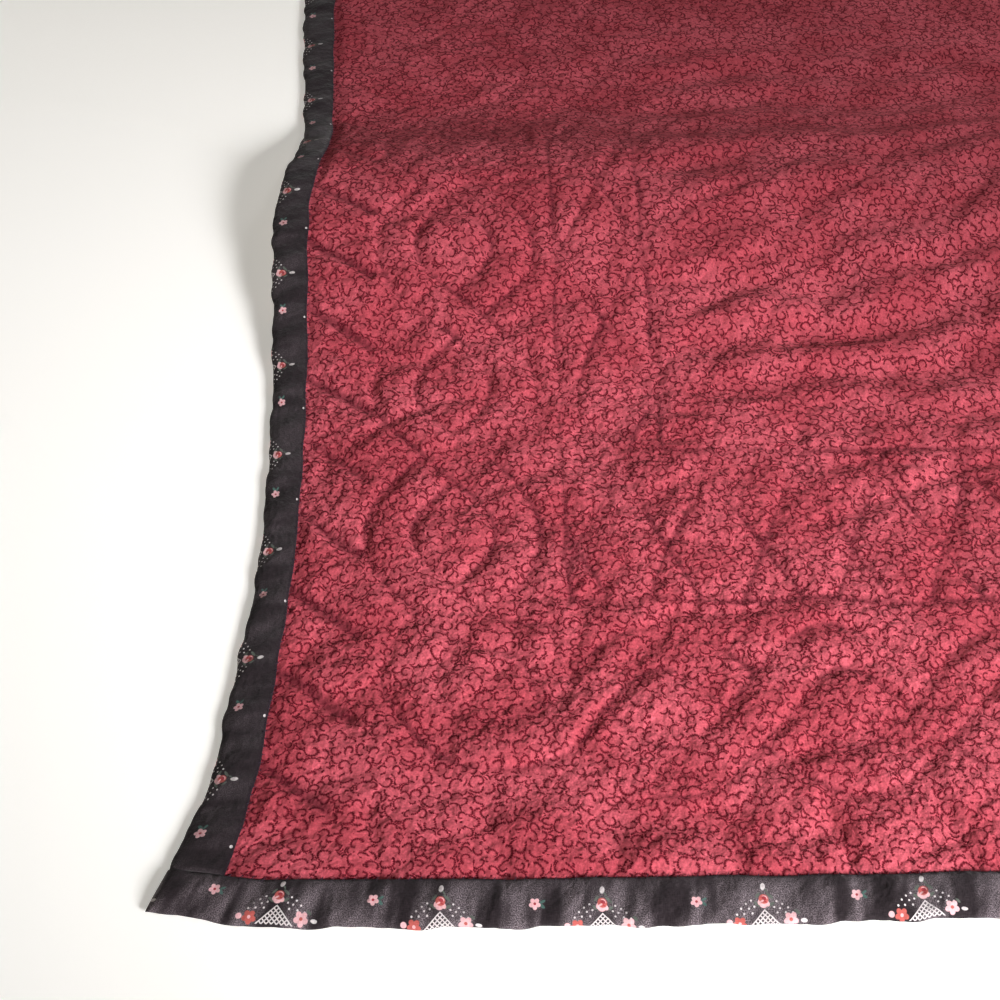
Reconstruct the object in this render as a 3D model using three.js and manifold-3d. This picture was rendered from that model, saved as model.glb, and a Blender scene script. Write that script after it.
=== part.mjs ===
// A bound, quilted bed cover lying printed side up, with one soft ridge across it. Millimetres, +Z up.
import * as THREE from "three";
import Module from "manifold-3d";

const wasm = await Module();
wasm.setup();

// Driving dimensions of the flat cover
const width = 914;
const length = 1168;
const gap = 0.3;
const cutPast = 1;

// Thickness of the filled cloth: at a sewn line, the rise of a full puff, and where the binding presses it
const filling = { valley: 2.5, puff: 5, reach: 18, pressed: 2.8 };

// The folded strip round each edge: finished width, thickness of a leg and of the fold, and its rounding
const tape = { width: 25, thick: 1.3, fold: 3, bend: 2.8, round: 2.5 };

// The ridge: its crest's distance from the front edge, how far the crest leans across, height and slopes
const ridge = { crest: 590, lean: 0.04, height: 28, front: 225, back: 130 };

// Slack folds across the plain middle
const folds = { height: 2.2, pitch: 52, slant: 0.13, bow: 0.6, bowPitch: 210, fade: 45 };

// Quilting: a two-strand cable round the border, a frame line, a lattice band and a plain middle panel
const cable = { inset: 128, corner: 70, swing: 39, band: 32, sway: 1.3, eyesAcross: 5, eyesAlong: 6 };
const frame = { side: 199, end: 205 };
const panel = { side: 264, end: 330 };
const lattice = { side: 234, end: 314, columns: 8, rows: 4 };
const pucker = { pitch: 61, first: 98, inner: 69, slantSide: -34, slantEnd: -12 };
const lineStep = 3;

// How deep each kind of line pulls the cloth down, as a share of the puff
const depth = { cable: 1, frame: 0.9, lattice: 0.85, pucker: 0.45 };

// Points of the printed face: their spacing along sewn lines and between them, and along the edges
const spread = { line: 13, fill: 16, clear: 8.5, across: 20, along: 15, margin: 4, jitter: 0.8 };

// How far each edge wanders inward, by distance along it from the front left or front right corner
const leftEdge = [
  { at: 0, inward: -25 },
  { at: 30, inward: -15 },
  { at: 80, inward: -2 },
  { at: 140, inward: 4 },
  { at: 230, inward: 11 },
  { at: 330, inward: 10 },
  { at: 425, inward: 5 },
  { at: 515, inward: -1 },
  { at: 565, inward: -2 },
  { at: 655, inward: 8 },
  { at: 735, inward: 4 },
  { at: 890, inward: -6 },
  { at: 1168, inward: -2 },
];
const rightEdge = [
  { at: 0, inward: -8 },
  { at: 160, inward: 3 },
  { at: 420, inward: 6 },
  { at: 600, inward: -3 },
  { at: 760, inward: 4 },
  { at: 980, inward: 2 },
  { at: 1168, inward: -9 },
];
const frontEdge = [
  { at: 0, inward: 9 },
  { at: 45, inward: 0 },
  { at: 250, inward: -2 },
  { at: 480, inward: 1 },
  { at: 720, inward: -1 },
  { at: 914, inward: 3 },
];
const backEdge = [
  { at: 0, inward: -4 },
  { at: 200, inward: 3 },
  { at: 470, inward: 0 },
  { at: 700, inward: 3 },
  { at: 914, inward: -5 },
];
const edgeReach = 170;

// Smooth value of an edge table at a distance along the edge
function wander(table, at) {
  const last = table.length - 2;
  const found = table.findIndex((row) => row.at > at) - 1;
  const k = found < 0 ? last : found;
  const slope = (i) => {
    const a = table[Math.max(i - 1, 0)];
    const b = table[Math.min(i + 1, table.length - 1)];
    return (b.inward - a.inward) / (b.at - a.at);
  };
  const [p, q] = [table[k], table[k + 1]];
  const span = q.at - p.at;
  const f = (at - p.at) / span;
  const rise = f * f * (3 - 2 * f);
  const ease = span * (slope(k) * f * (1 - f) * (1 - f) - slope(k + 1) * f * f * (1 - f));
  return p.inward + (q.inward - p.inward) * rise + ease;
}

// Share of an edge's wander that is left at a distance in from that edge
function share(inset) {
  const f = 1 - Math.min(inset / edgeReach, 1);
  return f * f;
}

// Height of the ridge over the surface at a place on the flat cloth
function ridgeLift(s, t) {
  const ahead = t - ridge.crest - ridge.lean * s;
  const f = ahead / (ahead < 0 ? ridge.front : ridge.back);
  return Math.abs(f) < 1 ? (ridge.height / 2) * (1 + Math.cos(Math.PI * f)) : 0;
}

// Where a point of the flat cloth lies: s across, t from the front edge, z above the underside
function lay(s, t, z) {
  const left = share(s) * wander(leftEdge, t);
  const right = share(width - s) * wander(rightEdge, t);
  const front = share(t) * wander(frontEdge, s);
  const back = share(length - t) * wander(backEdge, s);
  return new THREE.Vector3(s + left - right, t + front - back, z + ridgeLift(s, t));
}

// Points along a straight sewn line
function straight(from, to) {
  const steps = Math.ceil(from.distanceTo(to) / lineStep);
  return Array.from({ length: steps + 1 }, (_, i) => from.clone().lerp(to, i / steps));
}

// Points along the four sides of a rectangle set in from the cover's edges
function rectangle({ side, end }) {
  const corners = [
    new THREE.Vector2(side, end),
    new THREE.Vector2(width - side, end),
    new THREE.Vector2(width - side, length - end),
    new THREE.Vector2(side, length - end),
  ];
  return corners.flatMap((corner, i) => straight(corner, corners[(i + 1) % corners.length]));
}

// Runs of the cable's centre line: four sides with several eyes each, and a corner arc with one eye between
function cableRuns() {
  const { inset, corner, eyesAcross, eyesAlong } = cable;
  const near = inset + corner;
  const across = width - 2 * near;
  const along = length - 2 * near;
  const quarter = (Math.PI / 2) * corner;
  const starts = [
    { from: [near, inset], heading: 0, run: across, eyes: eyesAcross },
    { from: [width - inset, near], heading: Math.PI / 2, run: along, eyes: eyesAlong },
    { from: [width - near, length - inset], heading: Math.PI, run: across, eyes: eyesAcross },
    { from: [inset, length - near], heading: -Math.PI / 2, run: along, eyes: eyesAlong },
  ];
  return starts.flatMap(({ from, heading, run, eyes }) => {
    const start = new THREE.Vector2(...from);
    const ahead = new THREE.Vector2(Math.cos(heading), Math.sin(heading));
    const inward = new THREE.Vector2(-ahead.y, ahead.x);
    const finish = start.clone().addScaledVector(ahead, run);
    const centre = finish.clone().addScaledVector(inward, corner);
    const side = (f, offset) =>
      start.clone().addScaledVector(ahead, f * run).addScaledVector(inward, offset);
    const bend = (f, offset) => {
      const turn = heading - Math.PI / 2 + (f * Math.PI) / 2;
      const arm = new THREE.Vector2(Math.cos(turn), Math.sin(turn));
      return centre.clone().addScaledVector(arm, corner - offset);
    };
    return [
      { run, eyes, place: side },
      { run: quarter, eyes: 1, place: bend },
    ];
  });
}

// Points of the cable's four sewn lines; the strand that passes under at a crossing breaks there
function cableLines() {
  const points = [];
  let passed = 0;
  for (const { run, eyes, place } of cableRuns()) {
    const pace = (Math.PI * eyes) / run;
    const steps = Math.ceil((run * cable.sway) / lineStep);
    for (let i = 0; i < steps; i += 1) {
      const f = i / steps;
      const wave = (passed + f * eyes) * Math.PI;
      const swing = cable.swing * Math.sin(wave);
      const half = (cable.band / 2) * Math.hypot(1, cable.swing * pace * Math.cos(wave));
      const over = Math.round(wave / Math.PI) % 2 === 0 ? 1 : -1;
      for (const strand of [1, -1]) {
        for (const edge of [1, -1]) {
          const offset = strand * swing + edge * half;
          const hidden = strand !== over && Math.abs(offset - over * swing) < half;
          if (!hidden) points.push(place(f, offset));
        }
      }
    }
    passed += eyes;
  }
  return points;
}

// Points of the two families of slanting lines between the frame and the middle panel
function latticeLines() {
  const spacing = (width - 2 * lattice.side) / lattice.columns;
  const slope = spacing / ((length - 2 * lattice.end) / lattice.rows);
  const inside = (p, { side, end }) =>
    Math.min(p.x - side, width - side - p.x) > 0 && Math.min(p.y - end, length - end - p.y) > 0;
  const reach = Math.ceil(length / spacing);
  const points = [];
  for (let k = -reach; k <= reach; k += 1) {
    for (const way of [1, -1]) {
      const at = (t) => new THREE.Vector2(lattice.side + k * spacing + way * slope * (t - lattice.end), t);
      const line = straight(at(frame.end), at(length - frame.end));
      points.push(...line.filter((p) => inside(p, frame) && !inside(p, panel)));
    }
  }
  return points;
}

// Points of the short slanting puckers between the binding and the cable
function puckerLines() {
  const points = [];
  const { pitch, first, inner, slantSide, slantEnd } = pucker;
  for (let t = first; t < length - first / 2; t += pitch) {
    const from = new THREE.Vector2(tape.width, t);
    const to = new THREE.Vector2(inner, t + slantSide);
    const line = straight(from, to);
    points.push(...line, ...line.map((p) => new THREE.Vector2(width - p.x, p.y)));
  }
  for (let s = first; s < width - first / 2; s += pitch) {
    const line = straight(new THREE.Vector2(s, tape.width), new THREE.Vector2(s + slantEnd, inner));
    points.push(...line, ...line.map((p) => new THREE.Vector2(p.x, length - p.y)));
  }
  return points;
}

const sewn = [
  { depth: depth.cable, points: cableLines() },
  { depth: depth.frame, points: [...rectangle(frame), ...rectangle(panel)] },
  { depth: depth.lattice, points: latticeLines() },
  { depth: depth.pucker, points: puckerLines() },
];

// Distance from a place to the nearest of a set of points
function clearance(points, place) {
  return points.reduce((least, p) => Math.min(least, Math.hypot(p.x - place.x, p.y - place.y)), Infinity);
}

// Share of a full puff at a distance from a sewn line
function puffShare(distance) {
  const f = 1 - Math.min(distance / filling.reach, 1);
  return Math.sqrt(1 - f * f);
}

// Height of the slack folds, which fade out at the edges of the middle panel
function foldHeight(s, t) {
  const inset = Math.min(
    s - panel.side,
    width - panel.side - s,
    t - panel.end,
    length - panel.end - t,
  );
  const fade = Math.min(Math.max(inset / folds.fade, 0), 1);
  const bow = folds.bow * Math.sin((2 * Math.PI * s) / folds.bowPitch);
  return folds.height * fade * Math.sin((2 * Math.PI * (t - folds.slant * s)) / folds.pitch + bow);
}

// Distance in from the nearest edge of the flat cover
function edgeInset(s, t) {
  return Math.min(s, width - s, t, length - t);
}

const pressedFloor = tape.thick + gap;
const pressedTop = pressedFloor + filling.pressed;
const bodyEdge = tape.fold + gap;
const coveredInset = tape.width + gap / 2;

// Thickness of the cloth at a place, measured up from the surface it lies on
function topHeight(s, t) {
  const inset = edgeInset(s, t) - coveredInset;
  const place = { x: s, y: t };
  const shares = sewn.map((kind) => 1 - kind.depth * (1 - puffShare(clearance(kind.points, place))));
  const quilted = filling.valley + filling.puff * Math.min(...shares) + foldHeight(s, t);
  return Math.min(quilted, pressedTop + filling.puff * puffShare(inset));
}

// Stations along an edge of the flat cover, with three close ones where the next edge's binding begins
function edgeStations(total, step) {
  const start = coveredInset + spread.margin;
  const count = Math.round((total - 2 * start) / step);
  const between = Array.from({ length: count + 1 }, (_, i) => start + ((total - 2 * start) * i) / count);
  return [bodyEdge, coveredInset, ...between, total - coveredInset, total - bodyEdge];
}

const columns = edgeStations(width, spread.across);
const rows = edgeStations(length, spread.along);

// The points of a set, taken in order, that keep a distance from those already taken
function thinned(points, distance) {
  const kept = [];
  for (const point of points) {
    if (clearance(kept, point) >= distance) kept.push(point);
  }
  return kept;
}

// Places on the printed face inside the binding: on the sewn lines, then between them
function facePlaces() {
  const rim = coveredInset + spread.margin;
  const inside = (p) => edgeInset(p.x, p.y) > rim + spread.clear / 2;
  const lines = sewn.flatMap((kind) => kind.points).filter(inside);
  const places = thinned(lines, spread.line);
  const rise = (spread.fill * Math.sqrt(3)) / 2;
  for (let j = 0; rim + j * rise < length; j += 1) {
    for (let i = 0; rim + i * spread.fill < width; i += 1) {
      const s = rim + (i + (j % 2) / 2) * spread.fill + spread.jitter * Math.sin(7 * i + 3 * j);
      const t = rim + j * rise + spread.jitter * Math.sin(5 * i - 11 * j);
      const place = new THREE.Vector2(s, t);
      if (inside(place) && clearance(lines, place) > spread.clear) places.push(place);
    }
  }
  return places;
}

// Delaunay triangles of a set of flat points, as triples of indices turning left
function delaunay(points) {
  const far = 1e5;
  const count = points.length;
  const all = [...points, ...[[-far, -far], [far, -far], [0, far]].map((p) => new THREE.Vector2(...p))];
  const ringed = (a, b, c) => {
    const [p, q, r] = [all[a], all[b].clone().sub(all[a]), all[c].clone().sub(all[a])];
    const twice = 2 * q.cross(r);
    const x = (r.y * q.lengthSq() - q.y * r.lengthSq()) / twice;
    const y = (q.x * r.lengthSq() - r.x * q.lengthSq()) / twice;
    return { corners: [a, b, c], x: p.x + x, y: p.y + y, reach: x * x + y * y };
  };
  const order = points.map((_, i) => i).sort((i, j) => points[i].x - points[j].x);
  const finished = [];
  let open = [ringed(count, count + 1, count + 2)];
  for (const id of order) {
    const rim = new Map();
    open = open.filter((ring) => {
      const dx = all[id].x - ring.x;
      const dy = all[id].y - ring.y;
      if (dx > 0 && dx * dx > ring.reach) {
        finished.push(ring);
        return false;
      }
      if (dx * dx + dy * dy > ring.reach) return true;
      ring.corners.forEach((from, k) => {
        const to = ring.corners[(k + 1) % 3];
        if (!rim.delete(`${to} ${from}`)) rim.set(`${from} ${to}`, [from, to]);
      });
      return false;
    });
    open.push(...[...rim.values()].map(([from, to]) => ringed(from, to, id)));
  }
  return [...finished, ...open].map((ring) => ring.corners).filter((ids) => ids.every((i) => i < count));
}

// The flat place, swelled a little so that the outer places of a rectangle form a convex outline
function swelled({ s, t }) {
  const swell = 0.002;
  const x = (2 * s) / width - 1;
  const y = (2 * t) / length - 1;
  return new THREE.Vector2(x * (1 + swell * (1 - y * y)) * width, y * (1 + swell * (1 - x * x)) * length);
}

// A closed surface under construction: its points and triangles
class Surface {
  constructor() {
    this.points = [];
    this.triangles = [];
  }

  // Adds a point and returns it with its place along the row that it belongs to
  add(point, s, t) {
    this.points.push(point);
    return { id: this.points.length - 1, s, t };
  }

  triangle(a, b, c) {
    this.triangles.push(a.id, b.id, c.id);
  }

  // Joins two rows of points with triangles, by their place along s or t
  knit(first, second, along) {
    let i = 0;
    let j = 0;
    while (i < first.length - 1 || j < second.length - 1) {
      const a = i < first.length - 1 ? first[i + 1][along] : Infinity;
      const b = j < second.length - 1 ? second[j + 1][along] : Infinity;
      if (a <= b) {
        this.triangle(first[i], first[i + 1], second[j]);
        i += 1;
      } else {
        this.triangle(first[i], second[j + 1], second[j]);
        j += 1;
      }
    }
  }

  // Signed volume, which is negative when the faces point inward
  volume() {
    let sum = 0;
    for (let i = 0; i < this.triangles.length; i += 3) {
      const [a, b, c] = this.triangles.slice(i, i + 3).map((id) => this.points[id]);
      sum += a.dot(b.clone().cross(c)) / 6;
    }
    return sum;
  }

  solid() {
    const turned = this.volume() < 0 ? [0, 2, 1] : [0, 1, 2];
    const triVerts = Uint32Array.from(
      this.triangles,
      (_, i) => this.triangles[i - (i % 3) + turned[i % 3]],
    );
    const vertProperties = Float32Array.from(this.points.flatMap((p) => [p.x, p.y, p.z]));
    return new wasm.Manifold(new wasm.Mesh({ numProp: 3, vertProperties, triVerts }));
  }
}

// Points all round the cover at one distance in from its edges, as four sides that share their corners
function ring(surface, inset, z) {
  const places = (stations, total) => stations.filter((at) => Math.min(at, total - at) > inset - gap);
  const point = (s, t) => surface.add(lay(s, t, z), s, t);
  const across = places(columns, width);
  const along = places(rows, length);
  const front = across.map((s) => point(s, along[0]));
  const back = across.map((s) => point(s, along.at(-1)));
  const left = along.slice(1, -1).map((t) => point(across[0], t));
  const right = along.slice(1, -1).map((t) => point(across.at(-1), t));
  return {
    front,
    back,
    left: [front[0], ...left, back[0]],
    right: [front.at(-1), ...right, back.at(-1)],
  };
}

// Joins two rings with faces that look up when the first ring is the outer one
function knitRings(surface, outer, inner) {
  surface.knit(outer.front, inner.front, "s");
  surface.knit(inner.back, outer.back, "s");
  surface.knit(inner.left, outer.left, "t");
  surface.knit(outer.right, inner.right, "t");
}

// The filled cloth: a quilted printed face, a plain underside and the edges that the binding covers
function quiltBody() {
  const surface = new Surface();
  const insets = [bodyEdge, coveredInset, coveredInset + spread.margin];
  const rimTop = pressedTop + filling.puff * puffShare(spread.margin);
  const over = insets.map((inset, i) => ring(surface, inset, [pressedTop, pressedTop, rimTop][i]));
  const under = insets.map((inset, i) => ring(surface, inset, [pressedFloor, pressedFloor, 0][i]));
  knitRings(surface, over[0], over[1]);
  knitRings(surface, over[1], over[2]);
  knitRings(surface, under[1], under[0]);
  knitRings(surface, under[2], under[1]);
  knitRings(surface, under[0], over[0]);

  const rim = over[2];
  const face = facePlaces().map((p) => surface.add(lay(p.x, p.y, topHeight(p.x, p.y)), p.x, p.y));
  const printed = [...new Set([...rim.front, ...rim.back, ...rim.left, ...rim.right]), ...face];
  for (const ids of delaunay(printed.map(swelled))) surface.triangle(...ids.map((id) => printed[id]));

  const floor = under[2];
  const across = floor.left.slice(1, -1).map((left, j) => [left, floor.right[j + 1]]);
  const plain = [floor.front, ...across, floor.back];
  plain.slice(1).forEach((row, j) => surface.knit(row, plain[j], "s"));
  return surface.solid();
}

// Sweeps a convex section along an edge; place gives the cloth point for a section point at a station
function sweep(stations, section, place) {
  const surface = new Surface();
  const rings = stations.map((at) =>
    section.map(({ inset, z }) => {
      const [s, t] = place(at, inset);
      return surface.add(lay(s, t, z), s, t);
    }),
  );
  const count = section.length;
  for (let k = 0; k < rings.length - 1; k += 1) {
    for (let i = 0; i < count; i += 1) {
      const next = (i + 1) % count;
      surface.triangle(rings[k][i], rings[k][next], rings[k + 1][next]);
      surface.triangle(rings[k][i], rings[k + 1][next], rings[k + 1][i]);
    }
  }
  for (let i = 1; i < count - 1; i += 1) {
    surface.triangle(rings[0][0], rings[0][i + 1], rings[0][i]);
    surface.triangle(rings.at(-1)[0], rings.at(-1)[i], rings.at(-1)[i + 1]);
  }
  return surface.solid();
}

const stripTop = pressedTop + gap + tape.thick;
const stripSection = [
  { inset: tape.width, z: 0 },
  { inset: tape.thick, z: 0 },
  { inset: 0, z: tape.bend },
  { inset: tape.round, z: stripTop - gap },
  { inset: tape.width, z: stripTop },
];
const slotSection = [
  { inset: tape.width + cutPast, z: tape.thick },
  { inset: tape.fold, z: tape.thick },
  { inset: tape.fold, z: pressedTop + gap },
  { inset: tape.width + cutPast, z: pressedTop + gap },
];

// A folded strip: the outer form of the fold with the slot for the cloth's edge cut out of it
function foldedStrip(stations, slotStations, place) {
  return sweep(stations, stripSection, place).subtract(sweep(slotStations, slotSection, place));
}

// Stations from one place to another that also stop at each grid place between
function stationsBetween(places, from, to) {
  return [from, ...places.filter((at) => at > from + gap && at < to - gap), to];
}

// A strip across the full width, closed at both ends
function endStrip(place) {
  const slotStations = stationsBetween(columns, tape.fold, width - tape.fold);
  return foldedStrip(stationsBetween(columns, 0, width), slotStations, place);
}

// A strip along a side, butted between the two end strips
function sideStrip(place) {
  const start = tape.width + gap;
  const stations = stationsBetween(rows, start, length - start);
  const slotStations = [start - cutPast, ...stations.slice(1, -1), length - start + cutPast];
  return foldedStrip(stations, slotStations, place);
}

const printedCotton = new THREE.MeshStandardMaterial({ color: 0xbc4a58, roughness: 0.9, metalness: 0 });
const floralTape = new THREE.MeshStandardMaterial({ color: 0x37323a, roughness: 0.88, metalness: 0 });

// A named mesh from a finished solid
function mesh(name, solid, material) {
  const { numProp, vertProperties, triVerts } = solid.getMesh();
  const geometry = new THREE.BufferGeometry();
  geometry.setAttribute("position", new THREE.BufferAttribute(new Float32Array(vertProperties), numProp));
  geometry.setIndex(new THREE.BufferAttribute(new Uint32Array(triVerts), 1));
  geometry.computeVertexNormals();
  const made = new THREE.Mesh(geometry, material);
  made.name = name;
  return made;
}

const cover = new THREE.Group();
cover.add(
  mesh("quilt_body", quiltBody(), printedCotton),
  mesh("binding_front", endStrip((at, inset) => [at, inset]), floralTape),
  mesh("binding_back", endStrip((at, inset) => [at, length - inset]), floralTape),
  mesh("binding_left", sideStrip((at, inset) => [inset, at]), floralTape),
  mesh("binding_right", sideStrip((at, inset) => [width - inset, at]), floralTape),
);

// The part's frame: the middle of the cover's outline, on the surface that it lies on
const middle = new THREE.Box3().setFromObject(cover).getCenter(new THREE.Vector3());
cover.position.set(-middle.x, -middle.y, 0);

const quilt = new THREE.Group();
quilt.add(cover);
export default quilt;
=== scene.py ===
import math

import bpy
import numpy as np
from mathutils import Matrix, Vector, noise
from mathutils.bvhtree import BVHTree
from mathutils.kdtree import KDTree


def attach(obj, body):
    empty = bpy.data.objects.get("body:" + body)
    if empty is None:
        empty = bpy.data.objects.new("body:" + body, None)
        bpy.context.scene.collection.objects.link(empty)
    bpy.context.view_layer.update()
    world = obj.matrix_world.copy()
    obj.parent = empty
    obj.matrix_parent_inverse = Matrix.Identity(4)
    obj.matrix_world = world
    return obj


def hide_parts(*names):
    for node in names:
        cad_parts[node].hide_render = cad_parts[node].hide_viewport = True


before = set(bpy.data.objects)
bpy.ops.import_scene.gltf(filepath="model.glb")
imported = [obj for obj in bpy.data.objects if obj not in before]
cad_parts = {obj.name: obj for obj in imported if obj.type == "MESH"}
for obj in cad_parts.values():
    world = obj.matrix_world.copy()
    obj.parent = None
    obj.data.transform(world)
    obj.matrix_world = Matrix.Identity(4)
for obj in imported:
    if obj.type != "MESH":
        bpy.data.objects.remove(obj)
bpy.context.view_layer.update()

MM = 0.001
BODY = "root"
OFF_GRID = 0.37

# Flat size of the cover, and its thickness at a sewn line, on a full puff and under the binding
WIDTH = 0.914
LENGTH = 1.168
VALLEY = 2.5 * MM
PUFF = 5 * MM
PUFF_REACH = 9.5 * MM
THINNEST = 1.6 * MM
EDGE_SLOPE = 15 * MM
PRESSED_FLOOR = 1.6 * MM
PRESSED_TOP = 4.4 * MM
WHOLE = {"side": 0, "end": 0}

# The folded binding: finished width, gap to the cloth, the cloth's edge inside it, height of the fold
TAPE = 25 * MM
GAP = 0.3 * MM
CLOTH_EDGE = 3.3 * MM
COVERED = TAPE + GAP / 2
FOLD_HEIGHT = 2.8 * MM

# The soft ridge across the cover, the slack folds in its plain middle and how unevenly they lie
RIDGE = {"crest": 0.590, "lean": 0.04, "height": 0.028, "front": 0.225, "back": 0.130}
FOLDS = {"height": 2.2 * MM, "pitch": 0.052, "slant": 0.13, "bow": 0.6, "bow_pitch": 0.210, "fade": 0.045}
FOLD_STRAY = {"turn": 4.5, "pitch": 0.12, "swell": 1.0, "share": 0.85, "layers": (31, 37)}

# Quilting: a two-strand cable, a frame line, a lattice band, a plain panel and puckers by the binding
CABLE = {"inset": 0.128, "corner": 0.070, "swing": 0.041, "band": 0.0295, "across": 5, "along": 6}
STRETCH = 1.3
FRAME = {"side": 0.199, "end": 0.205}
PANEL = {"side": 0.264, "end": 0.330}
LATTICE = {"side": 0.234, "end": 0.314, "columns": 8, "rows": 4}
PUCKER = {"pitch": 0.061, "first": 0.098, "inner": 0.069, "slant_side": -0.034, "slant_end": -0.012}
DEPTH = {"cable": 0.75, "frame": 0.5, "lattice": 0.55, "pucker": 1.0}
DEPTH_STRAY = {"mean": 0.85, "swing": 0.55, "pitch": 0.06, "least": 0.2, "layer": 41}
HAND = {"stray": 4 * MM, "pitch": 0.048, "layers": (51, 57)}
LINE_STEP = 1 * MM

# How far each edge wanders inward, in mm: distance along the edge, inward
LEFT_EDGE = [
    (0, -25), (30, -15), (80, -2), (140, 4), (230, 11), (330, 10), (425, 5),
    (515, -1), (565, -2), (655, 8), (735, 4), (890, -6), (1168, -2),
]
RIGHT_EDGE = [(0, -8), (160, 3), (420, 6), (600, -3), (760, 4), (980, 2), (1168, -9)]
FRONT_EDGE = [(0, 9), (45, 0), (250, -2), (480, 1), (720, -1), (914, 3)]
BACK_EDGE = [(0, -4), (200, 3), (470, 0), (700, 3), (914, -5)]
EDGE_REACH = 0.170

# Ripples across the sewn lines: pitch, height, reach, and their stray
RIPPLE = {"pitch": 13 * MM, "height": 0.45 * MM, "reach": 10 * MM}
RIPPLE_STRAY = {"turn": 3.0, "pitch": 20 * MM, "start": 0.37, "layer": 7}

# Unevenness of the filling: pitch, height, layer of noise, and the share left on a sewn line
CRUMPLE = [(62 * MM, 1.3 * MM, 1), (29 * MM, 1.25 * MM, 2), (13 * MM, 0.75 * MM, 3)]
CRUMPLE_SEWN = 0.2

# Drag creases: angle in degrees, length, spacing, depth, noise layers of their run and of where they show
CREASES = [
    (28, 130 * MM, 42 * MM, 2.8 * MM, (11, 13)),
    (-6, 110 * MM, 34 * MM, 2.2 * MM, (17, 19)),
    (58, 70 * MM, 36 * MM, 1.9 * MM, (23, 25)),
]

# Their width in the noise, where they show, their share on a sewn line and their clearance of it
CREASE_WIDTH = 0.17
CREASE_SHOWN = {"mean": 0.5, "swing": 1.6, "pitch": 85 * MM, "least": 0}
CREASE_SEWN = 0.25
CREASE_CLEAR = 7 * MM

# Just behind the ridge the cloth lies smoother: distance from the front edge, share of the creasing
CALM = [(0.55, 1.0), (0.68, 0.45), (0.84, 0.45), (0.97, 1.0)]

# How far the painted shade darkens the cloth beside a sewn line, unevenly along it, and beside a pucker
SEAM_SHADE_REACH = 3.6 * MM
SEAM_SHADE_STRAY = {"mean": 0.72, "swing": 0.8, "pitch": 0.034, "least": 0.2, "layer": 43}
PUCKER_SHADE = {"reach": 6.5 * MM, "share": 1.2}

# The printed face: points across and along between the bindings, those of its margin and the underside's
FACE_COLUMNS = 257
FACE_ROWS = 329
FACE_START = 28 * MM
FACE_MARGIN = np.array([CLOTH_EDGE, 14 * MM, COVERED])
UNDER_EVERY = 4
SHUT = 0.3
SNAP_ROUNDS = 4

# Map for baking: metres to its side, and where the underside lies on it
BAKE_SPAN = 1.2
BAKE_UNDER_WIDE = 0.2
BAKE_UNDER_START = 0.79

# Binding strips: how the outer face lies, from the inner edge over the fold to the underside, in mm
STRIP_OVER = [
    (25.0, 5.0), (25.1, 5.7), (24.6, 6.2), (23.2, 6.6), (21.0, 6.9), (18.5, 7.0), (16.0, 7.0), (13.5, 6.9),
    (11.0, 6.7), (8.5, 6.4), (6.3, 6.0), (4.4, 5.5), (2.8, 4.9), (1.5, 4.2), (0.6, 3.4), (0.1, 2.5),
    (0.4, 1.5), (1.4, 0.6), (3.4, 0.1), (8.0, 0.05), (14.0, 0.05), (20.0, 0.05), (25.0, 0.05),
]
STRIP_UNDER = [(25.0, 1.3), (12.0, 1.3), (3.1, 1.3), (3.1, 4.45), (12.0, 4.7), (24.9, 4.7)]

# Strips: the fold's row in the outer face, step along, slack face, and the height it keeps over the cloth
STRIP_FOLD = 17
STRIP_STEP = 2.5 * MM
STRIP_FACE = 27 * MM
STRIP_ABOVE = 4.8 * MM
STRIP_REST = 4.95 * MM
STRIP_STRAY = {"turn": 1.5, "pitch": 55 * MM}
HUMP = 0.7

# Slack waves across the strips: pitch in mm, slant, height in mm, phase
STRIP_WAVES = [(16.3, 0.55, 0.3, 0.0), (25.1, -0.35, 0.45, 1.9), (37.7, 0.7, 0.8, 4.1)]

# Scallops along their fold: pitch in mm, way out in mm, phase
SCALLOPS = [(27.3, 0.6, 0.6), (17.7, 0.3, 2.2), (61.0, 1.0, 5.0)]
SCALLOP_MIDDLE = 1.2
SCALLOP_IN = -0.7 * MM
SCALLOP_REACH = 9 * MM

# Stray of the sewn edge, and how far and how much the ends of the strips across are pressed shut
SEAM_STRAY = {"out": 1.5 * MM, "pitch": 27 * MM, "from": 18 * MM, "over": 6 * MM, "layer": 3}
CLOSED = {"reach": 6 * MM, "least": 0.25}

# The print's repeat along a strip, and how far and how often it drifts across
REPEAT = 82 * MM
DRIFT = {"across": 4.4 * MM, "pitch": 0.68}

# Strips: ends along the edge, first rose along and from the inner edge in mm, drift, wear with painted shade
# (set low on the left strip to darken it as the shaded side), layer of noise
ACROSS = (0, WIDTH)
ALONG = (TAPE + GAP, LENGTH - TAPE - GAP)
STRIPS = [
    {"node": "binding_front", "ends": ACROSS, "rose": (64, 12.0), "drift": 1, "wear_and_shade": 0.5, "layer": 13},
    {"node": "binding_back", "ends": ACROSS, "rose": (20, 12.5), "drift": 1, "wear_and_shade": 0.5, "layer": 12},
    {"node": "binding_left", "ends": ALONG, "rose": (56.0, 19.2), "drift": 0, "wear_and_shade": 0.12, "layer": 12},
    {"node": "binding_right", "ends": ALONG, "rose": (60, 14.0), "drift": 1, "wear_and_shade": 0.4, "layer": 13},
]

# Running stitches: length, pitch, thread radius, rise over the cloth and sink at the ends
STITCH = {"long": 2.6 * MM, "pitch": 4.4 * MM, "radius": 0.22 * MM, "rise": 0.28 * MM, "sink": 0.35 * MM}

# Slip stitches, with the inset and height of their points in mm, and the threads of both kinds
SLIP = {"pitch": 5.2 * MM, "radius": 0.2 * MM, "lean": 1.4 * MM, "margin": 27 * MM}
SLIP_SHAPE = [(23.4, 5.9), (24.6, 6.55), (25.6, 6.2), (26.6, 5.6)]
THREAD_SIDES = 4
THREAD_POINTS = 4
THREAD_TAPER = (0.12, 0.88)
ABOVE = 0.1

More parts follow.
